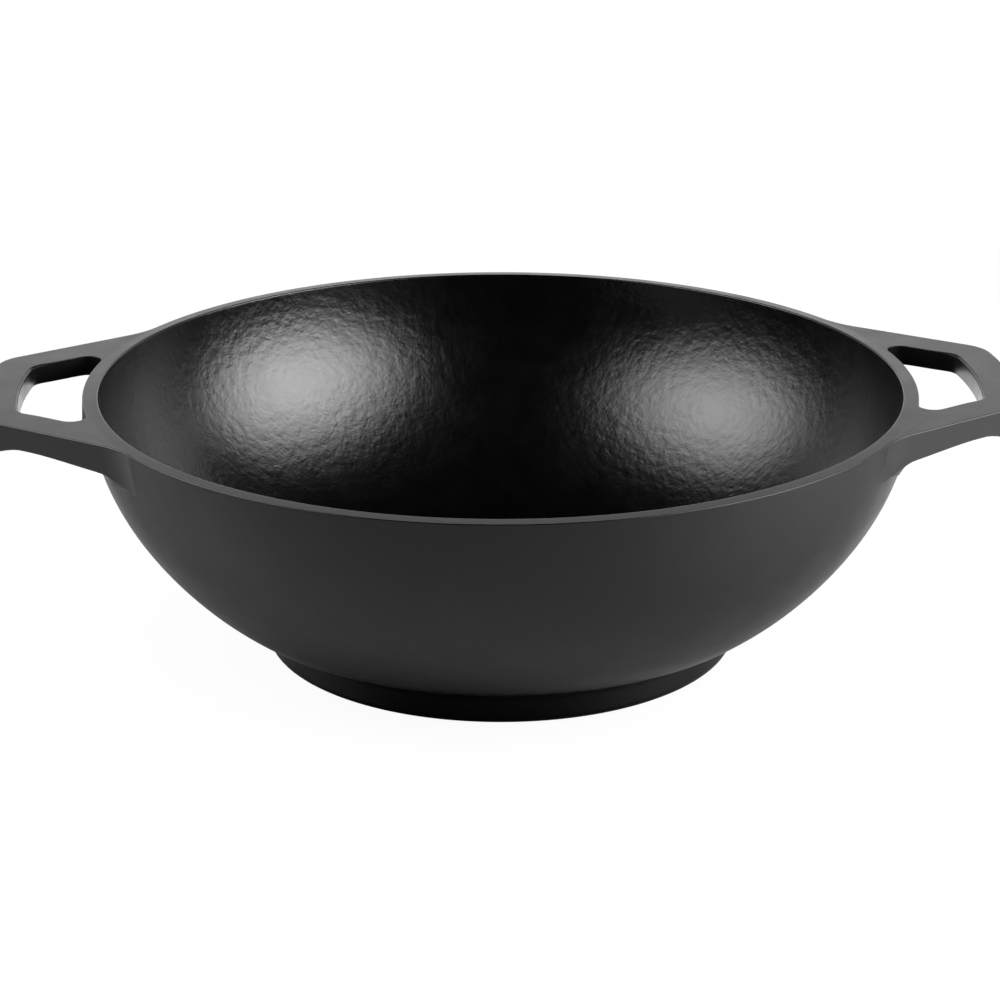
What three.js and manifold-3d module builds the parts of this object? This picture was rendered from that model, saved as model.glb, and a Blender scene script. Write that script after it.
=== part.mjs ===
// A cast iron wok with a turned foot and two loop handles level with its rim.
// Millimetres, +Z up. The origin is the centre of the foot, on the table, and the handles lie along X.

import * as THREE from "three";
import { mergeVertices } from "three/addons/utils/BufferGeometryUtils.js";
import Module from "manifold-3d";

// Bowl
const rimRadius = 180.5;
const rimHeight = 117.5;
const wallRadius = 134;
const insideRadius = 125;
const wallThickness = 4.5;
const floorThickness = 5;
const floorBlend = 60;

// Rim band
const lipThickness = 6;
const lipOuterRound = 0.8;
const lipInnerRound = 0.8;
const bandBelowHandles = 2;

// Foot
const footRadius = 104;
const footDraft = 1;
const footHeight = 11.8;
const footWidth = 10;
const footEdgeRound = 4;

// Handles, seen from above
const handleLength = 44.5;
const handleSpread = 70.5;
const handleTaper = THREE.MathUtils.degToRad(34);
const armWidth = 16.5;
const gripWidth = 16.5;
const webWidth = 1.5;
const rootFillet = 45;
const gripCornerRound = 15;
const openingOuterRound = 9;
const openingInnerRound = 6;
const openingDraft = 1.5;

// Handles, seen from the side
const armThickness = 9.3;
const rootThickness = 14;
const rootRun = 24;
const gripThickness = 15;
const gripLip = 12.5;
const handleEdgeRound = 1;

// Fit and resolution
const jointGap = 0.3;
const turnSegments = 72;
const arcTolerance = 0.15;
const edgeSteps = 3;
const loopSteps = 6;
const undersideSteps = 3;

const wasm = await Module();
wasm.setup();

const bandDepth = rootThickness + bandBelowHandles;
const bandFoot = rimHeight - bandDepth;
const lipCentre = new THREE.Vector2(rimRadius - lipOuterRound, rimHeight - lipOuterRound);
const lipInnerCentre = new THREE.Vector2(rimRadius - lipThickness + lipInnerRound, rimHeight - lipInnerRound);
const footTop = new THREE.Vector2(footRadius + footDraft, footHeight);
const footInner = footRadius - footWidth;
const handleReach = rimRadius + handleLength;
const gripInner = handleReach - gripWidth;
const webRadius = rimRadius + webWidth;

// The outer wall is one arc that rises from the top of the foot and runs into the round of the lip
const wallCentre = circleCentre(footTop, wallRadius, lipCentre, wallRadius - lipOuterRound);

// The floor's underside is level with the wall at the inner edge of the foot
const undersideAngle = angleAtDistance(wallRadius, footInner);
const floorUnderside = wallCentre.y + wallRadius * Math.sin(undersideAngle);
const floorTop = floorUnderside + floorThickness;

// The inner wall is one arc too: the wall thickens from foot to lip, and it blends into the flat floor
const insideFoot = footTop.clone().lerp(wallCentre, wallThickness / wallRadius);
const insideCentre = circleCentre(insideFoot, insideRadius, lipInnerCentre, insideRadius + lipInnerRound);
const blendDrop = insideCentre.y - floorTop - floorBlend;
const floorRadius = insideCentre.x + Math.sqrt((insideRadius - floorBlend) ** 2 - blendDrop ** 2);
const blendCentre = new THREE.Vector2(floorRadius, floorTop + floorBlend);

// The centre, on the inner side, of a circle at given distances from a lower and a higher point
function circleCentre(lower, lowerDistance, higher, higherDistance) {
  const along = higher.clone().sub(lower);
  const span = along.length();
  const foot = (lowerDistance ** 2 - higherDistance ** 2 + span ** 2) / (2 * span);
  const aside = Math.sqrt(lowerDistance ** 2 - foot ** 2);
  along.normalize();
  return new THREE.Vector2(
    lower.x + along.x * foot - along.y * aside,
    lower.y + along.y * foot + along.x * aside,
  );
}

// How many steps keep an arc within its tolerance
function arcSteps(radius, sweep) {
  const stepAngle = 2 * Math.acos(1 - Math.min(arcTolerance / radius, 1));
  return Math.max(edgeSteps, Math.ceil(Math.abs(sweep) / stepAngle));
}

// Points of an arc from one angle to another, with both ends
function arc(centre, radius, from, to, steps = arcSteps(radius, to - from)) {
  return Array.from({ length: steps + 1 }, (_, i) => {
    const angle = from + ((to - from) * i) / steps;
    return new THREE.Vector2(centre.x + radius * Math.cos(angle), centre.y + radius * Math.sin(angle));
  });
}

// The angle, seen from an arc's centre, at which the arc is at a height
function angleAtHeight(centre, radius, height) {
  return Math.asin((height - centre.y) / radius);
}

// The angle, seen from the wall's centre, at which an arc of that radius is at a distance from the axis
function angleAtDistance(radius, distance) {
  return -Math.acos((distance - wallCentre.x) / radius);
}

// The angle of a point seen from an arc's centre
function angleFrom(centre, point) {
  return Math.atan2(point.y - centre.y, point.x - centre.x);
}

// A closed profile turned about +Z, given anticlockwise in (distance from the axis, height)
function turned(profile) {
  const geometry = new THREE.LatheGeometry(profile, turnSegments);
  return geometry.rotateX(Math.PI / 2);
}

// A profile that ends where it starts
function closed(profile) {
  return [...profile, profile[0].clone()];
}

function bowlWall() {
  const outerTop = angleAtHeight(wallCentre, wallRadius, bandFoot);
  const insideTop = angleAtHeight(insideCentre, insideRadius, bandFoot);
  const blendAngle = angleFrom(insideCentre, blendCentre);
  return turned(closed([
    new THREE.Vector2(floorRadius, floorUnderside),
    ...arc(wallCentre, wallRadius, undersideAngle, outerTop),
    ...arc(insideCentre, insideRadius, insideTop, blendAngle),
    ...arc(blendCentre, floorBlend, blendAngle, -Math.PI / 2).slice(1),
  ]));
}

function bowlFloor() {
  const radius = floorRadius - jointGap;
  return turned([
    new THREE.Vector2(0, floorUnderside),
    new THREE.Vector2(radius, floorUnderside),
    new THREE.Vector2(radius, floorTop),
    new THREE.Vector2(0, floorTop),
  ]);
}

// The lip's outer side from the foot of the band to its top face, grown by a clearance
function lipOuterSide(clearance) {
  const radius = wallRadius + clearance;
  const lipAngle = angleFrom(wallCentre, lipCentre);
  return [
    ...arc(wallCentre, radius, angleAtHeight(wallCentre, radius, bandFoot), lipAngle),
    ...arc(lipCentre, lipOuterRound + clearance, lipAngle, Math.PI / 2).slice(1),
  ];
}

// The band with the narrow webs along it, which close the handles' openings towards the bowl;
// each web reaches into the band by half the lip's round
function rimBand() {
  const lipAngle = angleFrom(insideCentre, lipInnerCentre);
  const insideTop = angleAtHeight(insideCentre, insideRadius, bandFoot);
  const band = solidOf(turned(closed([
    ...lipOuterSide(0),
    ...arc(lipInnerCentre, lipInnerRound, Math.PI / 2, Math.PI + lipAngle),
    ...arc(insideCentre, insideRadius, lipAngle, insideTop).slice(1),
  ])));
  const web = handleLoop().intersect(webSpace()).subtract(seat(-lipOuterRound / 2));
  return geometryOf(band.add(web).add(web.rotate([0, 0, 180])));
}

// The foot widens upwards to the wall, and its upper side follows the wall
function footRing() {
  const seatRadius = wallRadius + jointGap;
  const edgeCentre = new THREE.Vector2(footRadius - footEdgeRound, footEdgeRound);
  const seatOuter = angleAtDistance(seatRadius, footTop.x);
  return turned(closed([
    new THREE.Vector2(footInner, 0),
    ...arc(edgeCentre, footEdgeRound, -Math.PI / 2, 0),
    ...arc(wallCentre, seatRadius, seatOuter, angleAtDistance(seatRadius, footInner)),
  ]));
}

// The arm's side line, from above: it leans towards the grip, with its normal away from the opening
const armDirection = new THREE.Vector2(Math.cos(handleTaper), -Math.sin(handleTaper));
const armNormal = new THREE.Vector2(Math.sin(handleTaper), Math.cos(handleTaper));
const normalAngle = armNormal.angle();

// The centre of a round at given distances from the arm's side line and from the bowl's axis
function roundCentre(sideDistance, axisDistance) {
  const start = new THREE.Vector2(rimRadius, handleSpread).addScaledVector(armNormal, sideDistance);
  const half = start.dot(armDirection);
  const along = Math.sqrt(half ** 2 - start.lengthSq() + axisDistance ** 2) - half;
  return start.addScaledVector(armDirection, along);
}

// Half of a loop seen from above: round the grip, along the arm, through a round and along the rim
function halfLoop(gripRadius, corner, cornerRound, root, rootRound, rootStart, rimDistance) {
  const axis = new THREE.Vector2();
  const gripArc = arc(axis, gripRadius, 0, corner.angle(), loopSteps);
  const cornerArc = arc(corner, cornerRound, corner.angle(), normalAngle, loopSteps);
  const rootArc = arc(root, rootRound, rootStart, root.angle() + Math.PI, loopSteps);
  const rimArc = arc(axis, rimDistance, root.angle(), 0, loopSteps);
  const side = Array.from({ length: loopSteps - 1 }, (_, i) => (
    cornerArc.at(-1).clone().lerp(rootArc[0], (i + 1) / loopSteps)
  ));
  return [...gripArc, ...cornerArc.slice(1), ...side, ...rootArc, ...rimArc.slice(1)];
}

// Both halves of a loop, as one closed list of points
function bothHalves(half) {
  const other = half.map(({ x, y }) => new THREE.Vector2(x, -y)).reverse();
  return [...half, ...other.filter(({ y }) => y < 0)];
}

// The outer side of a handle, set in; it ends inside the rim, where the seat cuts it off
function handleOutline(inset) {
  const corner = roundCentre(-gripCornerRound, handleReach - gripCornerRound);
  const root = roundCentre(rootFillet, rimRadius + rootFillet);
  return bothHalves(halfLoop(
    handleReach - inset,
    corner,
    gripCornerRound - inset,
    root,
    rootFillet + inset,
    normalAngle + Math.PI,
    rimRadius - bandDepth,
  ));
}

// The centre of the opening's round beside the rim
function openingRoot() {
  return roundCentre(-armWidth - openingInnerRound, webRadius + openingInnerRound);
}

// The side of the opening, set in; it leaves a narrow web along the rim, and it is smaller below by a draft
function handleOpening(inset) {
  const corner = roundCentre(-armWidth - openingOuterRound, gripInner - openingOuterRound);
  const root = openingRoot();
  return bothHalves(halfLoop(
    gripInner + inset,
    corner,
    openingOuterRound + inset,
    root,
    openingInnerRound + inset,
    normalAngle,
    webRadius - inset,
  ));
}

// How thick a handle is: its arms deepen towards the rim, and its grip towards the outer edge
function handleThickness(x, y) {
  const along = x * armDirection.x + Math.abs(y) * armDirection.y;
  const armStart = rimRadius * armDirection.x + handleSpread * armDirection.y;
  const root = 1 - THREE.MathUtils.smoothstep(along, armStart - rootRun, armStart + rootRun);
  const grip = THREE.MathUtils.smoothstep(Math.hypot(x, y), handleReach - gripLip, handleReach);
  return armThickness + (rootThickness - armThickness) * root + (gripThickness - armThickness) * grip;
}

function solidOf(geometry) {
  geometry.deleteAttribute("normal");
  geometry.deleteAttribute("uv");
  const merged = mergeVertices(geometry);
  return new wasm.Manifold(new wasm.Mesh({
    numProp: 3,
    vertProperties: new Float32Array(merged.attributes.position.array),
    triVerts: new Uint32Array(merged.index.array),
  }));
}

function geometryOf(solid) {
  const { vertProperties, triVerts } = solid.getMesh();
  const geometry = new THREE.BufferGeometry();
  geometry.setAttribute("position", new THREE.BufferAttribute(vertProperties, 3));
  geometry.setIndex(new THREE.BufferAttribute(triVerts, 1));
  geometry.computeVertexNormals();
  return geometry;
}

// A handle ring by ring: down its outer side, across its underside and up the side of the opening
function handleRings() {
  const round = arc(new THREE.Vector2(), handleEdgeRound, Math.PI / 2, 0).map(({ x, y }) => (
    { inset: handleEdgeRound - x, depth: handleEdgeRound - y }
  ));
  const upper = (loop, depth) => loop.map(({ x, y }) => new THREE.Vector3(x, y, rimHeight - depth));
  const lower = (loop, depth) => loop.map(({ x, y }) => (
    new THREE.Vector3(x, y, rimHeight - handleThickness(x, y) + depth)
  ));
  const outerEdge = handleOutline(handleEdgeRound);
  const openingEdge = handleOpening(handleEdgeRound - openingDraft);
  const underside = Array.from({ length: undersideSteps - 1 }, (_, i) => (
    lower(outerEdge.map((point, k) => point.clone().lerp(openingEdge[k], (i + 1) / undersideSteps)), 0)
  ));
  return [
    ...round.map(({ inset, depth }) => upper(handleOutline(inset), depth)),
    ...round.toReversed().map(({ inset, depth }) => lower(handleOutline(inset), depth)),
    ...underside,
    ...round.map(({ inset, depth }) => lower(handleOpening(inset - openingDraft), depth)),
    ...round.toReversed().map(({ inset, depth }) => upper(handleOpening(inset), depth)),
  ];
}

// The whole loop, with the part that lies in the rim
function handleLoop() {
  const rings = handleRings();
  const count = rings[0].length;
  const index = rings.flatMap((ring, j) => ring.flatMap((_, i) => {
    const here = j * count;
    const next = ((j + 1) % rings.length) * count;
    const beside = (i + 1) % count;
    return [here + i, next + i, here + beside, here + beside, next + i, next + beside];
  }));
  const loop = new THREE.BufferGeometry().setFromPoints(rings.flat());
  loop.setIndex(index);
  return solidOf(loop);
}

// The space inside the outer side of the rim, grown by a clearance
function seat(clearance) {
  const above = new THREE.Vector2(0, rimHeight + jointGap);
  const below = new THREE.Vector2(0, bandFoot);
  return solidOf(turned([below, ...lipOuterSide(clearance), above]));
}

// The space between a handle's roots that holds the web along the rim
function webSpace() {
  const root = openingRoot();
  const block = new THREE.BoxGeometry(root.length(), 2 * root.y, 2 * bandDepth);
  return solidOf(block.translate(root.length() / 2, 0, rimHeight));
}

// A flat loop, level with the rim's top face and seated on the rim band
function handle() {
  return geometryOf(handleLoop().subtract(seat(jointGap)).subtract(webSpace()));
}

function castIron(color, roughness) {
  return new THREE.MeshStandardMaterial({ color, roughness, metalness: 0.4 });
}

const wok = new THREE.Group();
wok.name = "cast_iron_wok";

function addPiece(name, geometry, material) {
  const piece = new THREE.Mesh(geometry, material);
  piece.name = name;
  wok.add(piece);
  return piece;
}

addPiece("bowl_wall", bowlWall(), castIron(0x2f2f30, 0.55));
addPiece("bowl_floor", bowlFloor(), castIron(0x202021, 0.5));
addPiece("rim_band", rimBand(), castIron(0x4a4a4b, 0.5));
addPiece("foot_ring", footRing(), castIron(0x1c1c1d, 0.6));
addPiece("right_handle", handle(), castIron(0x3c3c3d, 0.6));
addPiece("left_handle", handle(), castIron(0x3c3c3d, 0.6)).rotation.z = Math.PI;

export default wok;
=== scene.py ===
import math

import bmesh
import bpy
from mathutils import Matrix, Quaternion, Vector
from mathutils.kdtree import KDTree


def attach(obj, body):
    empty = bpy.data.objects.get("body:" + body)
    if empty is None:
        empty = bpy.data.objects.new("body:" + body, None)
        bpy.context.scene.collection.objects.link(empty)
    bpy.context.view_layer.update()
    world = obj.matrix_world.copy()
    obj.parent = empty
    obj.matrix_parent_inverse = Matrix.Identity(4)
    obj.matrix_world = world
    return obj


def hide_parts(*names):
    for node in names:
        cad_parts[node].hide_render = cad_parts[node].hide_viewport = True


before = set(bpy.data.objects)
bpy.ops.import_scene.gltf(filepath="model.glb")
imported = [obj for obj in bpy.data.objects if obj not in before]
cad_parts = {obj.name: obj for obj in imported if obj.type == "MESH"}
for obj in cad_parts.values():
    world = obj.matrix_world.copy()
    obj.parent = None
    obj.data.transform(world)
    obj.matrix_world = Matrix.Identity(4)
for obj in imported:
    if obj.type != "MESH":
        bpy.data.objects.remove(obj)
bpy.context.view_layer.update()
mm = 0.001  # the pieces' lengths are set in millimetres, and angles in degrees
mergeDistance = 0.0005 * mm
print("frame loaded:", sorted(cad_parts))


# Colours are written as sRGB hex
def linear(hexColour):
    channels = [int(hexColour[i:i + 2], 16) / 255 for i in (1, 3, 5)]
    return [c / 12.92 if c <= 0.04045 else ((c + 0.055) / 1.055) ** 2.4 for c in channels] + [1.0]


# A node with its settings, its values and its links
def addNode(tree, kind, inputs=None, **settings):
    node = tree.nodes.new(kind)
    for name, value in settings.items():
        setattr(node, name, value)
    for name, value in (inputs or {}).items():
        if isinstance(value, bpy.types.NodeSocket):
            tree.links.new(value, node.inputs[name])
        else:
            node.inputs[name].default_value = value
    return node


def newMaterial(name):
    material = bpy.data.materials.new(name)
    material.use_nodes = True
    material.node_tree.nodes.clear()
    return material, material.node_tree


# Seasoned cast iron: sand-cast, then baked with oil. Nearly black, with a clear skin of
# hard oil over it that mirrors the lights softly, and the sand's grain under the skin.
# The tones are set for the bright softboxes below, and are darker than such iron is.
iron = {
    "ior": 1.5,  # the hard oil's
    "mottleDetail": 3.0, "noiseRoughness": 0.55, "glossFrom": 0.3, "glossTo": 0.7,
    "speckDetail": 1.0, "speckFrom": 0.58, "speckTo": 0.78,
}


def seasonedIron(name, look):
    material, tree = newMaterial(name)
    place = addNode(tree, "ShaderNodeTexCoord").outputs["Object"]
    mottle = addNode(tree, "ShaderNodeTexNoise", {
        "Vector": place, "Scale": 1 / (look["mottleSize"] * mm),
        "Detail": iron["mottleDetail"], "Roughness": iron["noiseRoughness"],
    }).outputs["Fac"]
    tone = addNode(tree, "ShaderNodeMix", {
        "Factor": mottle, "A": linear(look["darkTone"]), "B": linear(look["lightTone"]),
    }, data_type="RGBA")
    grain = addNode(tree, "ShaderNodeTexNoise", {
        "Vector": place, "Scale": 1 / (look["grainSize"] * mm),
        "Detail": look["grainDetail"], "Roughness": iron["noiseRoughness"],
    }).outputs["Fac"]
    gloss = addNode(tree, "ShaderNodeMapRange", {
        "Value": mottle, "From Min": iron["glossFrom"], "From Max": iron["glossTo"],
        "To Min": look["roughness"] - look["roughnessSpread"],
        "To Max": look["roughness"] + look["roughnessSpread"],
    }).outputs["Result"]
    if "lowGloss" in look:  # smoother towards the foot
        height = addNode(tree, "ShaderNodeSeparateXYZ", {"Vector": place}).outputs["Z"]
        share = addNode(tree, "ShaderNodeMapRange", {
            "Value": height, "From Min": look["lowFoot"] * mm, "From Max": look["lowTop"] * mm,
            "To Min": look["lowGloss"], "To Max": 1.0,
        }, interpolation_type="SMOOTHSTEP").outputs["Result"]
        gloss = addNode(tree, "ShaderNodeMath", {0: gloss, 1: share}, operation="MULTIPLY").outputs["Value"]
    specks = addNode(tree, "ShaderNodeTexNoise", {
        "Vector": place, "Scale": 1 / (look["speckSize"] * mm), "Detail": iron["speckDetail"],
    }).outputs["Fac"]
    specks = addNode(tree, "ShaderNodeMapRange", {
        "Value": specks, "From Min": iron["speckFrom"], "From Max": iron["speckTo"],
        "To Min": 0.0, "To Max": look["speckShare"],
    }, interpolation_type="SMOOTHSTEP").outputs["Result"]
    height = addNode(tree, "ShaderNodeMath", {0: grain, 1: specks}, operation="ADD").outputs["Value"]
    relief = addNode(tree, "ShaderNodeBump", {
        "Height": height, "Strength": look["grainStrength"], "Distance": look["grainDepth"] * mm,
    })
    surface = addNode(tree, "ShaderNodeBsdfPrincipled", {
        "Base Color": tone.outputs["Result"],
        "Roughness": gloss,
        "IOR": iron["ior"],
        "Specular IOR Level": look["sheen"],
        "Normal": relief.outputs["Normal"],
    })
    addNode(tree, "ShaderNodeOutputMaterial", {"Surface": surface.outputs["BSDF"]})
    return material


# Inside: a coarse pebbled casting under a glossy skin, which breaks each lamp into a wide glitter
cookingFaceLook = {
    "darkTone": "#010101", "lightTone": "#030303", "mottleSize": 14.0,
    "roughness": 0.23, "roughnessSpread": 0.02, "sheen": 0.5,
    "grainSize": 4.6, "grainDepth": 0.48, "grainStrength": 0.5, "grainDetail": 3.0,
    "speckSize": 3.6, "speckShare": 0.12,
}
# Outside: smooth and satin, with soft shading and a glow along its edges. The grain of this and
# the next finishes is finer on the real iron, and is drawn at 0.9 mm so that it shows.
outerFaceLook = {
    "darkTone": "#050505", "lightTone": "#090909", "mottleSize": 18.0,
    "roughness": 0.45, "roughnessSpread": 0.03, "sheen": 0.43,
    "lowGloss": 0.55, "lowFoot": 15.0, "lowTop": 38.0,
    "grainSize": 0.9, "grainDepth": 0.06, "grainStrength": 0.5, "grainDetail": 2.0,
    "speckSize": 2.0, "speckShare": 0.3,
}
# Foot, and the grips' sides towards the openings: painted shade, a darker tone with little sheen that keeps
# them nearly black
paintedShadeLook = {
    "darkTone": "#040404", "lightTone": "#070707", "mottleSize": 18.0,
    "roughness": 0.4, "roughnessSpread": 0.03, "sheen": 0.13,
    "grainSize": 0.9, "grainDepth": 0.06, "grainStrength": 0.5, "grainDetail": 2.0,
    "speckSize": 2.0, "speckShare": 0.3,
}
# Rim's top and handles: worn smoother by hands, so that they mirror the white room behind
handledLook = {
    "darkTone": "#050505", "lightTone": "#090909", "mottleSize": 18.0,
    "roughness": 0.31, "roughnessSpread": 0.03, "sheen": 0.55,
    "grainSize": 0.9, "grainDepth": 0.05, "grainStrength": 0.5, "grainDetail": 2.0,
    "speckSize": 2.0, "speckShare": 0.6,
}
# Arms' sides towards the openings and the web between them: painted shade, almost without sheen, that keeps
# them dark
openingShadeLook = {**paintedShadeLook, "roughness": 0.5, "sheen": 0.05}
cookingFace = seasonedIron("seasoned cast iron, pebbled", cookingFaceLook)
paintedShadeFace = seasonedIron("seasoned cast iron, painted shade", paintedShadeLook)
handledFace = seasonedIron("seasoned cast iron, handled", handledLook)
outerFace = seasonedIron("seasoned cast iron, smooth", outerFaceLook)
openingShadeFace = seasonedIron("seasoned cast iron, painted shade in openings", openingShadeLook)
print("materials made")


# Points of an arc in a plane, with both ends; angles in degrees
def arcPoints(centre, radius, start, end, steps):
    angles = [math.radians(start + (end - start) * i / steps) for i in range(steps + 1)]
    return [Vector((centre[0] + radius * math.cos(a), centre[1] + radius * math.sin(a))) for a in angles]


def angleFrom(centre, point):
    return math.degrees(math.atan2(point[1] - centre[1], point[0] - centre[0]))


bowl = {
    "wallRadius": 134.0, "insideRadius": 125.0, "wallThickness": 4.5,
    "floorThickness": 5.0, "floorBlend": 60.0, "floorRing": 0.5,
    "fullness": 0.8, "fullnessFoot": 35.0, "footLift": 2.2, "liftReach": 122.0,
    "wallSteps": 72, "insideSteps": 64, "blendSteps": 24, "turnSteps": 256,
}
rim = {
    "radius": 180.5, "height": 117.5, "thickness": 6.0, "depth": 16.0,
    "outerRound": 0.3, "innerRound": 0.6, "flatMargin": 0.2,
    "slope": 0.27, "lapDrop": 0.01, "wallSteps": 16, "outerSteps": 5, "innerSteps": 6,
}
foot = {
    "radius": 104.0, "topRadius": 105.0, "neckRadius": 104.2, "height": 11.8, "width": 10.0,
    "edgeRound": 4.0, "innerRound": 1.5, "fillet": 6.0, "sunk": 1.5,
    "innerSteps": 5, "edgeSteps": 10, "filletSteps": 16, "sunkSteps": 6,
}
handleTop = rim["height"] - rim["slope"]
lipCentre = Vector((rim["radius"] - rim["outerRound"], handleTop - rim["outerRound"]))
footTop = Vector((foot["topRadius"], foot["height"]))
bandFoot = rim["height"] - rim["depth"]
innerEdge = Vector((rim["radius"] - rim["thickness"] + rim["innerRound"],
                    rim["height"] - rim["innerRound"]))


# The centre, on the inner side, of a circle at given distances from a lower and a higher point
def circleCentre(lower, lowerDistance, higher, higherDistance):
    along = higher - lower
    span = along.length
    share = (lowerDistance ** 2 - higherDistance ** 2 + span ** 2) / (2 * span)
    aside = math.sqrt(lowerDistance ** 2 - share ** 2)
    along.normalize()
    return lower + along * share + Vector((-along.y, along.x)) * aside


# Outside, the wall's arc runs from the top of the foot into the round of the lip.
# Inside it has an arc of its own, which thickens the wall towards the lip.
wallCentre = circleCentre(footTop, bowl["wallRadius"], lipCentre, bowl["wallRadius"] - rim["outerRound"])
insideFoot = footTop.lerp(wallCentre, bowl["wallThickness"] / bowl["wallRadius"])
insideCentre = circleCentre(insideFoot, bowl["insideRadius"],
                            innerEdge, bowl["insideRadius"] + rim["innerRound"])


def smooth(value, low, high):
    share = min(max((value - low) / (high - low), 0), 1)
    return share * share * (3 - 2 * share)


# The upper wall is a little fuller than its arc
def fullness(height):
    share = (height - bowl["fullnessFoot"]) / (rim["height"] - bowl["fullnessFoot"])
    return bowl["fullness"] * math.sin(math.pi * min(max(share, 0), 1)) ** 2


# and it runs out flatter beside the foot
def lift(distance):
    inner, outer = foot["radius"] - foot["width"], foot["topRadius"]
    rise = smooth(distance, inner, outer) * (1 - smooth(distance, outer, bowl["liftReach"]))
    return bowl["footLift"] * rise


def fullWall(points):
    return [Vector((point.x + fullness(point.y), point.y + lift(point.x))) for point in points]


# The outer wall's distance from the axis at a height, and its height at a distance
def wallAtHeight(radius, height):
    return wallCentre.x + math.sqrt(radius ** 2 - (height - wallCentre.y) ** 2) + fullness(height)


def wallAtDistance(radius, distance):
    return wallCentre.y - math.sqrt(radius ** 2 - (distance - wallCentre.x) ** 2)


footInner = foot["radius"] - foot["width"]
floorUnderside = wallAtDistance(bowl["wallRadius"], footInner)
floorTop = floorUnderside + bowl["floorThickness"]
blendDrop = insideCentre.y - floorTop - bowl["floorBlend"]
floorRadius = insideCentre.x + math.sqrt((bowl["insideRadius"] - bowl["floorBlend"]) ** 2 - blendDrop ** 2)
blendCentre = Vector((floorRadius, floorTop + bowl["floorBlend"]))
lipAngle = angleFrom(wallCentre, lipCentre)
innerLipAngle = angleFrom(insideCentre, innerEdge)
blendAngle = angleFrom(insideCentre, blendCentre)


# A section is drawn point by point from one vertex, then spun about the axis
def turnPiece(name, section):
    bpy.ops.object.select_all(action="DESELECT")
    bpy.ops.mesh.primitive_plane_add(size=mm)
    piece = bpy.context.object
    piece.name = name
    piece.data.name = name
    bpy.ops.object.mode_set(mode="EDIT")
    bpy.ops.mesh.select_all(action="SELECT")
    bpy.ops.mesh.merge(type="CENTER")
    bpy.ops.transform.translate(value=(section[0].x * mm, 0, section[0].y * mm))
    for here, there in zip(section, section[1:]):
        step = (there - here) * mm
        bpy.ops.mesh.extrude_region_move(TRANSFORM_OT_translate={"value": (step.x, 0, step.y)})
    bpy.ops.mesh.select_all(action="SELECT")
    bpy.ops.mesh.remove_doubles(threshold=mergeDistance)
    bpy.ops.mesh.select_all(action="SELECT")
    bpy.ops.mesh.spin(steps=bowl["turnSteps"], angle=2 * math.pi, center=(0, 0, 0), axis=(0, 0, 1))
    bpy.ops.mesh.select_all(action="SELECT")
    bpy.ops.mesh.remove_doubles(threshold=mergeDistance)
    bpy.ops.mesh.normals_make_consistent(inside=False)
    bpy.ops.object.mode_set(mode="OBJECT")
    print("turned", name, len(piece.data.polygons), "faces")
    return piece


# A piece gets its finishes by the way its faces look: outer side, inside of the bowl, level top and,
# on a handle, the sides towards the opening, of the arms and of the grip
finishing = {
    "smoothAngle": 32.0, "inward": 0.2, "level": 0.9, "slanted": 0.7, "bowlUp": 0.2, "across": 0.5,
    "floorMargin": 0.1, "webReach": 3.0, "webSide": 45.0,
}


def finishPiece(piece, node, side, top, arms, grip):
    bpy.ops.object.select_all(action="DESELECT")
    piece.select_set(True)
    bpy.context.view_layer.objects.active = piece
    bpy.ops.object.shade_smooth_by_angle(angle=math.radians(finishing["smoothAngle"]))
    for finish in (side, cookingFace, top, arms, grip):
        piece.data.materials.append(finish)
    bpy.ops.object.mode_set(mode="EDIT")
    mesh = bmesh.from_edit_mesh(piece.data)
    for face in mesh.faces:
        centre, normal = face.calc_center_median(), face.normal
        away = centre.xy.length
        pastRim = away - rim["radius"] * mm
        inward = centre.length_squared > 0 and -(normal.xy.dot(centre.xy)) > finishing["inward"] * away
        inBowl = pastRim < 0 and centre.z > (floorTop - finishing["floorMargin"]) * mm
        onWeb = 0 < pastRim < finishing["webReach"] * mm and abs(centre.y) < finishing["webSide"] * mm
        if normal.z > finishing["level"] and centre.z > bandFoot * mm:
            face.material_index = 2
        elif inBowl and (inward or normal.z > finishing["bowlUp"]):
            face.material_index = 1
        elif normal.z > finishing["slanted"]:
            face.material_index = 2
        elif normal.y * centre.y < -finishing["across"] * abs(centre.y) or onWeb:
            face.material_index = 3
        elif inward:
            face.material_index = 4
    bmesh.update_edit_mesh(piece.data)
    bpy.ops.object.mode_set(mode="OBJECT")
    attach(piece, "root")
    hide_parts(node)


def closedSection(points):
    return points + [points[0].copy()]


underAngle = angleFrom(wallCentre, Vector((footInner, floorUnderside)))
bandAngle = math.degrees(math.asin((bandFoot - wallCentre.y) / bowl["wallRadius"]))
innerBandAngle = math.degrees(math.asin((bandFoot - insideCentre.y) / bowl["insideRadius"]))
bowlWall = turnPiece("bowlWall", closedSection(
    [Vector((floorRadius, floorUnderside))]
    + fullWall(arcPoints(wallCentre, bowl["wallRadius"], underAngle, bandAngle, bowl["wallSteps"]))
    + arcPoints(insideCentre, bowl["insideRadius"], innerBandAngle, blendAngle, bowl["insideSteps"])
    + arcPoints(blendCentre, bowl["floorBlend"], blendAngle, -90, bowl["blendSteps"])[1:]
))
finishPiece(bowlWall, "bowl_wall", outerFace, cookingFace, outerFace, outerFace)

bowlFloor = turnPiece("bowlFloor", [
    Vector((0, floorUnderside)),
    Vector((floorRadius, floorUnderside)),
    Vector((floorRadius, floorTop)),
    Vector((floorRadius * bowl["floorRing"], floorTop)),
    Vector((0, floorTop)),
])
finishPiece(bowlFloor, "bowl_floor", outerFace, cookingFace, outerFace, outerFace)

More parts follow.
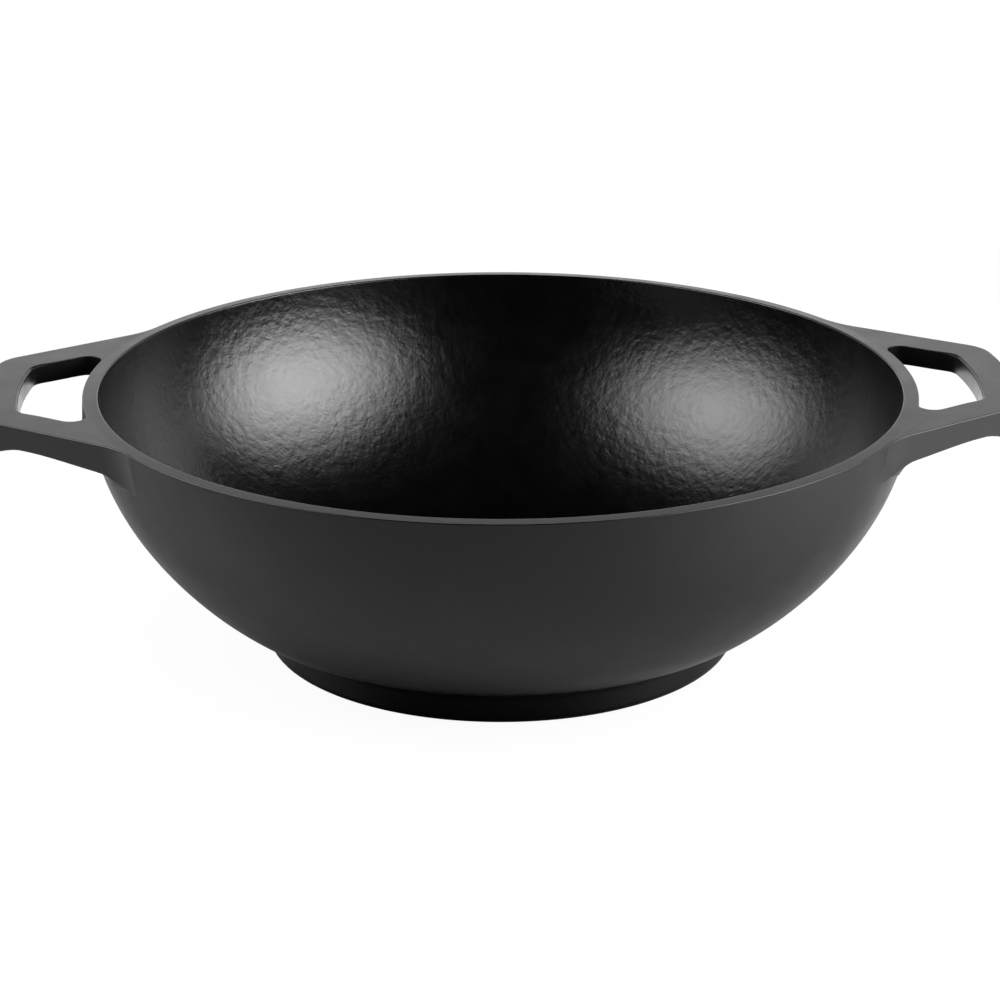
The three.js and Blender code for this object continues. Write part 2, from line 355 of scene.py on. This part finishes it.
# The rim lies a hair below the handles' tops, which lap over it
rimBand = turnPiece("rimBand", [point - Vector((0, rim["lapDrop"])) for point in closedSection(
    fullWall(arcPoints(wallCentre, bowl["wallRadius"], bandAngle, lipAngle, rim["wallSteps"]))
    + arcPoints(lipCentre, rim["outerRound"], lipAngle, 90, rim["outerSteps"])[1:]
    + [Vector((lipCentre.x - rim["flatMargin"], handleTop))]
    + [Vector((innerEdge.x + rim["flatMargin"], rim["height"]))]
    + arcPoints(innerEdge, rim["innerRound"], 90, 180 + innerLipAngle, rim["innerSteps"])
    + arcPoints(insideCentre, bowl["insideRadius"], innerLipAngle, innerBandAngle, rim["wallSteps"])[1:]
)])
finishPiece(rimBand, "rim_band", outerFace, handledFace, outerFace, outerFace)

# The foot widens a little to its neck and runs into the wall with a fillet
footEdge = Vector((foot["radius"] - foot["edgeRound"], foot["edgeRound"]))
footInnerEdge = Vector((footInner + foot["innerRound"], foot["innerRound"]))
filletX = foot["neckRadius"] + foot["fillet"]
filletCentre = Vector((filletX, wallAtDistance(bowl["wallRadius"] + foot["fillet"], filletX)))
filletEnd = angleFrom(filletCentre, wallCentre)
filletCentre.y += lift(filletX + foot["fillet"] * math.cos(math.radians(filletEnd)))
footRing = turnPiece("footRing", closedSection(
    arcPoints(footInnerEdge, foot["innerRound"], 180, 270, foot["innerSteps"])
    + arcPoints(footEdge, foot["edgeRound"], 270, 360, foot["edgeSteps"])
    + arcPoints(filletCentre, foot["fillet"], 180, filletEnd, foot["filletSteps"])
    + fullWall(arcPoints(wallCentre, bowl["wallRadius"] - foot["sunk"],
                         angleFrom(wallCentre, filletCentre), underAngle, foot["sunkSteps"]))
))
# The whole foot takes the painted shade finish
finishPiece(footRing, "foot_ring", paintedShadeFace, paintedShadeFace, paintedShadeFace, paintedShadeFace)

handle = {
    "length": 44.5, "spread": 70.5, "taper": 34.0,
    "armWidth": 17.5, "gripWidth": 16.5, "web": 0.7,
    "rootFillet": 45.0, "gripCornerRound": 18.0,
    "openingOuterRound": 9.0, "openingInnerRound": 6.0, "openingRelief": 1.4,
    "openingDraft": 0.6, "gripDraftCut": 0.6, "gripBlendFrom": 9.0, "gripBlendTo": 1.0,
    "armThickness": 9.9, "rootThickness": 12.5, "rootRun": 24.0, "rootFlare": 6.0, "flareRun": 6.0,
    "gripThickness": 14.2, "gripLip": 14.5, "edgeRound": 0.4, "gripInnerRound": 1.2, "rootBlend": 0.2,
    "rootSunk": 0.06, "hiddenDepth": 3.5, "lap": 0.6, "support": 0.4,
    "gripSteps": 12, "cornerSteps": 12, "armSteps": 18, "rootSteps": 18, "roundSteps": 12, "rimSteps": 14,
    "edgeSteps": 5, "undersideSteps": 7, "sideShares": (0.06, 0.35, 0.65, 0.94),
}
taper = math.radians(handle["taper"])
armDirection = Vector((math.cos(taper), -math.sin(taper)))
armNormal = Vector((math.sin(taper), math.cos(taper)))
normalAngle = 90 - handle["taper"]
gripOuter = rim["radius"] + handle["length"]
gripInner = gripOuter - handle["gripWidth"]
axis = Vector((0, 0))


# The centre of a round at given distances from the arm's side line and from the bowl's axis
def roundCentre(sideDistance, axisDistance):
    start = Vector((rim["radius"], handle["spread"])) + armNormal * sideDistance
    half = start.dot(armDirection)
    return start + armDirection * (math.sqrt(half ** 2 - start.length_squared + axisDistance ** 2) - half)


def handleThickness(point):
    along = point.x * armDirection.x + abs(point.y) * armDirection.y
    start = rim["radius"] * armDirection.x + handle["spread"] * armDirection.y
    root = 1 - smooth(along, start - handle["rootRun"], start + handle["rootRun"])
    grip = smooth(point.length, gripOuter - handle["gripLip"], gripOuter)
    flare = max(1 - (point.length - rim["radius"]) / handle["flareRun"], 0) ** 2
    thickness = handle["armThickness"]
    return (thickness + (handle["rootThickness"] - thickness) * root
            + (handle["gripThickness"] - thickness) * grip + handle["rootFlare"] * min(flare, 1))


# Half a loop seen from above, from the grip along the arm: each stop has its place, the way out of
# the iron, how far it is along the root (0 to 1) and whether it is hidden in the rim
def halfLoop(gripRadius, corner, cornerRound, sideEnd, sideSteps, outward):
    cornerAngle = angleFrom(axis, corner)
    grip = arcPoints(axis, gripRadius, 0, cornerAngle, handle["gripSteps"])
    turn = arcPoints(corner, cornerRound, cornerAngle, normalAngle, handle["cornerSteps"])
    side = [turn[-1].lerp(sideEnd, i / sideSteps) for i in range(1, sideSteps)]
    stops = [(p, p.normalized() * outward, 0, False) for p in grip]
    stops += [(p, (p - corner).normalized() * outward, 0, False) for p in turn[1:]]
    return stops + [(p, armNormal * outward, 0, False) for p in side]


def wholeLoop(stops):
    other = [(Vector((p.x, -p.y)), Vector((n.x, -n.y)), r, h) for p, n, r, h in reversed(stops)]
    return stops + [stop for stop in other if stop[0].y < 0]


webRadius = rim["radius"] + handle["web"]
openingRoot = roundCentre(-handle["armWidth"] - handle["openingInnerRound"],
                          webRadius + handle["openingInnerRound"])
webAngle = angleFrom(axis, openingRoot)


def outlineLoop():
    corner = roundCentre(-handle["gripCornerRound"], gripOuter - handle["gripCornerRound"])
    root = roundCentre(handle["rootFillet"], rim["radius"] - handle["rootSunk"] + handle["rootFillet"])
    rootAngle = angleFrom(axis, root)
    bend = arcPoints(root, handle["rootFillet"], normalAngle + 180, rootAngle + 180, handle["rootSteps"])
    stops = halfLoop(gripOuter, corner, handle["gripCornerRound"], bend[0], handle["armSteps"], 1)
    stops += [(p, (root - p).normalized(), i / handle["rootSteps"], False) for i, p in enumerate(bend)]
    lap = lipCentre.x - handle["lap"]
    hidden = arcPoints(axis, lap, rootAngle, webAngle, handle["roundSteps"])[1:]
    hidden += arcPoints(axis, lap, webAngle, 0, handle["rimSteps"])[1:]
    return wholeLoop(stops + [(p, p.normalized(), 1, True) for p in hidden])


def openingLoop():
    corner = roundCentre(-handle["armWidth"] - handle["openingOuterRound"],
                         gripInner - handle["openingOuterRound"])
    bend = arcPoints(openingRoot, handle["openingInnerRound"],
                     normalAngle, webAngle + 180, handle["roundSteps"])
    sideSteps = handle["armSteps"] + handle["rootSteps"]
    stops = halfLoop(gripInner, corner, handle["openingOuterRound"], bend[0], sideSteps, -1)
    stops += [(p, (openingRoot - p).normalized(), 0, False) for p in bend]
    web = arcPoints(axis, webRadius, webAngle, 0, handle["rimSteps"])[1:]
    return wholeLoop(stops + [(p, p.normalized(), 0, False) for p in web])


# The round of the outline's upper edge, which runs into the rim's at the root
def outlineEdge(root):
    more = rim["outerRound"] - handle["edgeRound"]
    return handle["edgeRound"] + more * smooth(root, handle["rootBlend"], 1)


# One ring of the outline's side: turn 0 is the edge of the top face and 1 the side below its round
def outlineRing(loop, turn, extra=0):
    angle = turn * math.pi / 2
    ring = []
    for p, n, root, hidden in loop:
        edge = outlineEdge(root)
        depth = edge * (1 - math.cos(angle))
        if hidden:
            place = p - n * handle["hiddenDepth"] * (1 - math.cos(angle))
            depth = handle["edgeRound"] * math.sin(angle)
        else:
            place = p - n * (edge * (1 - math.sin(angle)) + extra)
        ring.append(Vector((place.x, place.y, handleTop - depth)))
    return ring


# A ring lower on the outline's side: share 0 is under the top round and 1 above the bottom round;
# the root leans in with the bowl's wall
def sideRing(loop, share):
    ring = []
    for p, n, root, hidden in loop:
        edge = outlineEdge(root)
        depth = edge + (handleThickness(p) - handle["edgeRound"] - edge) * share
        height = handleTop - depth
        lean = (rim["radius"] - wallAtHeight(bowl["wallRadius"], height)) * smooth(root, 0, 1)
        place = p - n * (handle["hiddenDepth"] if hidden else lean)
        ring.append(Vector((place.x, place.y, height)))
    return ring


def bottomRing(loop, turn, extra=0):
    angle = turn * math.pi / 2
    ring = []
    for p, n, root, hidden in loop:
        height = handleTop - handleThickness(p) + handle["edgeRound"] * (1 - math.cos(angle))
        lean = (rim["radius"] - wallAtHeight(bowl["wallRadius"], height)) * smooth(root, 0, 1)
        inset = handle["edgeRound"] * (1 - math.sin(angle)) + extra
        place = p - n * (handle["hiddenDepth"] if hidden else lean + inset)
        ring.append(Vector((place.x, place.y, height)))
    return ring


# A ring of the opening's side, which leans in towards the bottom; its upper edge is rounder along the grip
def openingRing(loop, turn, extra, below):
    angle = turn * math.pi / 2
    ring = []
    for p, n, root, hidden in loop:
        edge = handle["edgeRound"]
        alongGrip = smooth(p.length, gripInner - handle["gripBlendFrom"], gripInner - handle["gripBlendTo"])
        if not below:
            edge += (handle["gripInnerRound"] - edge) * alongGrip
        inset = edge * (1 - math.sin(angle)) + extra
        if below:
            inset -= handle["openingDraft"] * (1 - handle["gripDraftCut"] * alongGrip)
        depth = edge * (1 - math.cos(angle))
        place = p - n * inset
        height = handleTop - (handleThickness(p) - handle["openingRelief"] - depth if below else depth)
        ring.append(Vector((place.x, place.y, height)))
    return ring


def handleRings():
    outline, opening = outlineLoop(), openingLoop()
    turns = [i / handle["edgeSteps"] for i in range(handle["edgeSteps"] + 1)]
    support = handle["support"]
    rings = [outlineRing(outline, 0, support)]
    rings += [outlineRing(outline, turn) for turn in turns]
    rings += [sideRing(outline, share) for share in handle["sideShares"]]
    rings += [bottomRing(outline, turn) for turn in reversed(turns)]
    rings += [bottomRing(outline, 0, support)]
    last, first = rings[-1], openingRing(opening, 0, support, True)
    for i in range(1, handle["undersideSteps"]):
        share = i / handle["undersideSteps"]
        ring = []
        for a, b in zip(last, first):
            place = a.lerp(b, share)
            place.z = handleTop - handleThickness(place.xy) + handle["openingRelief"] * share
            ring.append(place)
        rings.append(ring)
    rings += [first]
    rings += [openingRing(opening, turn, 0, True) for turn in turns]
    rings += [openingRing(opening, turn, 0, False) for turn in reversed(turns)]
    rings += [openingRing(opening, 0, support, False)]
    return rings + [rings[0]]


# A ring is extruded from ring to ring round the handle's section, and the last one meets the first
def modelHandle(name):
    rings = handleRings()
    bpy.ops.object.select_all(action="DESELECT")
    bpy.ops.mesh.primitive_circle_add(vertices=len(rings[0]), radius=gripOuter * mm)
    piece = bpy.context.object
    piece.name = name
    piece.data.name = name
    for vertex, place in zip(piece.data.vertices, rings[0]):
        vertex.co = place * mm
    bpy.ops.object.mode_set(mode="EDIT")
    bpy.ops.mesh.select_all(action="SELECT")
    for before, after in zip(rings, rings[1:]):
        bpy.ops.mesh.extrude_region_move()
        mesh = bmesh.from_edit_mesh(piece.data)
        finder = KDTree(len(before))
        for i, stop in enumerate(before):
            finder.insert(stop * mm, i)
        finder.balance()
        for vertex in mesh.verts:
            if vertex.select:
                vertex.co = after[finder.find(vertex.co)[1]] * mm
        bmesh.update_edit_mesh(piece.data)
    bpy.ops.mesh.select_all(action="SELECT")
    bpy.ops.mesh.remove_doubles(threshold=mergeDistance)
    bpy.ops.mesh.normals_make_consistent(inside=False)
    bpy.ops.object.mode_set(mode="OBJECT")
    print("modelled", name, len(piece.data.polygons), "faces")
    return piece


rightHandle = modelHandle("rightHandle")
bpy.ops.object.duplicate(linked=False)
leftHandle = bpy.context.object
leftHandle.name = "leftHandle"
leftHandle.data.name = "leftHandle"
bpy.ops.object.mode_set(mode="EDIT")
bpy.ops.mesh.select_all(action="SELECT")
bpy.ops.transform.rotate(value=math.pi, orient_axis="Z", center_override=(0, 0, 0))
bpy.ops.object.mode_set(mode="OBJECT")
# The handles' sides towards the openings take the painted shade finishes
finishPiece(rightHandle, "right_handle", handledFace, handledFace, openingShadeFace, paintedShadeFace)
finishPiece(leftHandle, "left_handle", handledFace, handledFace, openingShadeFace, paintedShadeFace)
print("handles done")

# Studio: a pale floor, a softbox on each side and a bright wall far behind
studio = {
    "floorSize": 14.0, "floorTone": "#a6a6a6", "floorRoughness": 0.25, "floorIor": 1.5,
    "shadowCore": 0.25, "shadowReach": 0.75, "shadowShare": 0.06,
    # A painted shadow darkens the floor card's colour near the wok's foot
    "paintedShadowTone": "#666666", "paintedShadowPlace": (-0.026, -0.03, 0.0), "paintedShadowCore": 0.07, "paintedShadowReach": 0.115,
    # A painted pool of light: the floor card glows behind the wok
    "paintedPoolGlow": 2.5, "paintedPoolPlace": (0.03, 0.3, 0.0), "paintedPoolCore": 0.15, "paintedPoolReach": 0.4,
    "aim": (0.0, 0.0, 0.08),
    "right": {"turn": 107.7, "rise": 27.2, "tilt": 10.0, "far": 1.3,
              "width": 2.42, "height": 1.63, "radiance": 12.5},
    "left": {"turn": -92.2, "rise": 33.9, "tilt": -16.4, "far": 1.3,
             "width": 2.24, "height": 1.43, "radiance": 8.5},
    "fill": 0.4, "wall": 1.85, "wallFront": 0.1, "wallBack": 0.6, "wallFade": 0.12, "wallTop": 0.48,
}


# A softbox is brightest in the middle of its cloth and fades to its edges
def addSoftbox(name, box):
    turn, rise = math.radians(box["turn"]), math.radians(box["rise"])
    way = Vector((math.sin(turn) * math.cos(rise), math.cos(turn) * math.cos(rise), math.sin(rise)))
    bpy.ops.object.light_add(type="AREA")
    lamp = bpy.context.object
    lamp.name = name
    lamp.location = Vector(studio["aim"]) + way * box["far"]
    lamp.rotation_mode = "QUATERNION"
    roll = Quaternion((0, 0, 1), math.radians(-box["tilt"]))
    lamp.rotation_quaternion = way.to_track_quat("Z", "Y") @ roll
    lamp.data.shape = "RECTANGLE"
    lamp.data.size = box["width"]
    lamp.data.size_y = box["height"]
    lamp.data.energy = box["radiance"] * box["width"] * box["height"] * math.pi
    lamp.visible_camera = False
    lamp.data.use_nodes = True
    tree = lamp.data.node_tree
    tree.nodes.clear()
    place = addNode(tree, "ShaderNodeNewGeometry").outputs["Parametric"]
    # from 0 to 1 across the cloth to -1 to 1 about its middle
    aside = addNode(tree, "ShaderNodeVectorMath", {0: place, 1: (0.5, 0.5, 0.0)}, operation="SUBTRACT")
    flat = addNode(tree, "ShaderNodeVectorMath", {
        0: aside.outputs["Vector"], 1: (2.0, 2.0, 0.0),
    }, operation="MULTIPLY")
    out = addNode(tree, "ShaderNodeVectorMath", {0: flat.outputs["Vector"]}, operation="LENGTH")
    fade = addNode(tree, "ShaderNodeMapRange", {
        "Value": out.outputs["Value"], "To Min": 1.0, "To Max": 0.0,
    }, interpolation_type="SMOOTHSTEP")
    cloth = addNode(tree, "ShaderNodeEmission", {"Strength": fade.outputs["Result"]})
    addNode(tree, "ShaderNodeOutputLight", {"Surface": cloth.outputs["Emission"]})


bpy.ops.object.select_all(action="DESELECT")
addSoftbox("rightSoftbox", studio["right"])
addSoftbox("leftSoftbox", studio["left"])

bpy.ops.mesh.primitive_plane_add(size=studio["floorSize"])
floor = bpy.context.object
floor.name = "floor"
# Floor: satin white card. The camera sees it lit to white, with a light shadow near the wok. In the
# iron's reflections it is pale grey, with a painted shadow near the wok's foot and a painted pool of light
# behind.
floorMaterial, tree = newMaterial("white card")
place = addNode(tree, "ShaderNodeTexCoord").outputs["Object"]
away = addNode(tree, "ShaderNodeVectorMath", {0: place}, operation="LENGTH").outputs["Value"]
near = addNode(tree, "ShaderNodeMapRange", {
    "Value": away, "From Min": studio["shadowCore"], "From Max": studio["shadowReach"],
    "To Min": studio["shadowShare"], "To Max": 0.0,
}, interpolation_type="SMOOTHSTEP").outputs["Result"]
kept = addNode(tree, "ShaderNodeMath", {0: 1.0, 1: near}, operation="SUBTRACT").outputs["Value"]
glow = addNode(tree, "ShaderNodeEmission", {"Strength": kept})
seenTone = addNode(tree, "ShaderNodeCombineColor", {"Red": near, "Green": near, "Blue": near})
seenCard = addNode(tree, "ShaderNodeBsdfDiffuse", {"Color": seenTone.outputs["Color"]})
seen = addNode(tree, "ShaderNodeAddShader", {0: glow.outputs["Emission"], 1: seenCard.outputs["BSDF"]})
# Painted pool of light: the card glows in a patch behind the wok, which is no lamp
fromPaintedPool = addNode(tree, "ShaderNodeVectorMath", {
    0: place, 1: studio["paintedPoolPlace"],
}, operation="DISTANCE").outputs["Value"]
pool = addNode(tree, "ShaderNodeMapRange", {
    "Value": fromPaintedPool, "From Min": studio["paintedPoolCore"], "From Max": studio["paintedPoolReach"],
    "To Min": studio["paintedPoolGlow"], "To Max": 0.0,
}, interpolation_type="SMOOTHSTEP").outputs["Result"]
# Painted shadow: the card's colour turns darker near the wok's foot
fromPaintedShadow = addNode(tree, "ShaderNodeVectorMath", {
    0: place, 1: studio["paintedShadowPlace"],
}, operation="DISTANCE").outputs["Value"]
lit = addNode(tree, "ShaderNodeMapRange", {
    "Value": fromPaintedShadow, "From Min": studio["paintedShadowCore"], "From Max": studio["paintedShadowReach"],
}, interpolation_type="SMOOTHSTEP").outputs["Result"]
cardTone = addNode(tree, "ShaderNodeMix", {
    "Factor": lit, "A": linear(studio["paintedShadowTone"]), "B": linear(studio["floorTone"]),
}, data_type="RGBA").outputs["Result"]
card = addNode(tree, "ShaderNodeBsdfPrincipled", {
    "Base Color": cardTone, "Roughness": studio["floorRoughness"], "IOR": studio["floorIor"],
    "Emission Color": linear("#ffffff"), "Emission Strength": pool,
})
path = addNode(tree, "ShaderNodeLightPath")
direct = addNode(tree, "ShaderNodeMath", {
    0: path.outputs["Is Camera Ray"], 1: path.outputs["Is Transmission Ray"],
}, operation="MAXIMUM")
mixed = addNode(tree, "ShaderNodeMixShader", {
    "Fac": direct.outputs["Value"], 1: card.outputs["BSDF"], 2: seen.outputs["Shader"],
})
addNode(tree, "ShaderNodeOutputMaterial", {"Surface": mixed.outputs["Shader"]})
floor.data.materials.append(floorMaterial)

# World: white to the camera, a bright wall low behind the wok in reflections, and a dim fill all round
world = bpy.data.worlds.new("studio")
bpy.context.scene.world = world
world.use_nodes = True
tree = world.node_tree
tree.nodes.clear()
way = addNode(tree, "ShaderNodeTexCoord").outputs["Generated"]
split = addNode(tree, "ShaderNodeSeparateXYZ", {"Vector": way})
behind = addNode(tree, "ShaderNodeMapRange", {
    "Value": split.outputs["Y"], "From Min": studio["wallFront"], "From Max": studio["wallBack"],
}, interpolation_type="SMOOTHSTEP").outputs["Result"]
low = addNode(tree, "ShaderNodeMapRange", {
    "Value": split.outputs["Z"], "From Min": studio["wallFade"], "From Max": studio["wallTop"],
    "To Min": studio["wall"], "To Max": 0.0,
}, interpolation_type="SMOOTHSTEP").outputs["Result"]
wall = addNode(tree, "ShaderNodeMath", {0: behind, 1: low}, operation="MULTIPLY").outputs["Value"]
path = addNode(tree, "ShaderNodeLightPath")
shiny = addNode(tree, "ShaderNodeMath", {
    0: path.outputs["Is Glossy Ray"], 1: path.outputs["Is Transmission Ray"],
}, operation="MAXIMUM").outputs["Value"]
level = addNode(tree, "ShaderNodeMix", {"Factor": shiny, "A": studio["fill"], "B": wall}).outputs["Result"]
level = addNode(tree, "ShaderNodeMix", {
    "Factor": path.outputs["Is Camera Ray"], "A": level, "B": 1.0,
}).outputs["Result"]
background = addNode(tree, "ShaderNodeBackground", {"Color": linear("#ffffff"), "Strength": level})
addNode(tree, "ShaderNodeOutputWorld", {"Surface": background.outputs["Background"]})
print("studio lit")

# Camera at the photograph's place and angle
view = {
    "place": (-0.0562, -1.2684, 0.5172), "direction": (0.0415, 0.9406, -0.3371),
    "lens": 109.7, "sensor": 36.0, "clipEnd": 50.0,
}
bpy.ops.object.camera_add(location=view["place"])
camera = bpy.context.object
camera.rotation_mode = "QUATERNION"
camera.rotation_quaternion = Vector(view["direction"]).to_track_quat("-Z", "Y")
camera.data.lens = view["lens"]
camera.data.sensor_width = view["sensor"]
camera.data.clip_end = view["clipEnd"]
bpy.context.scene.camera = camera
bpy.context.scene.view_settings.view_transform = "Standard"
print("camera set")
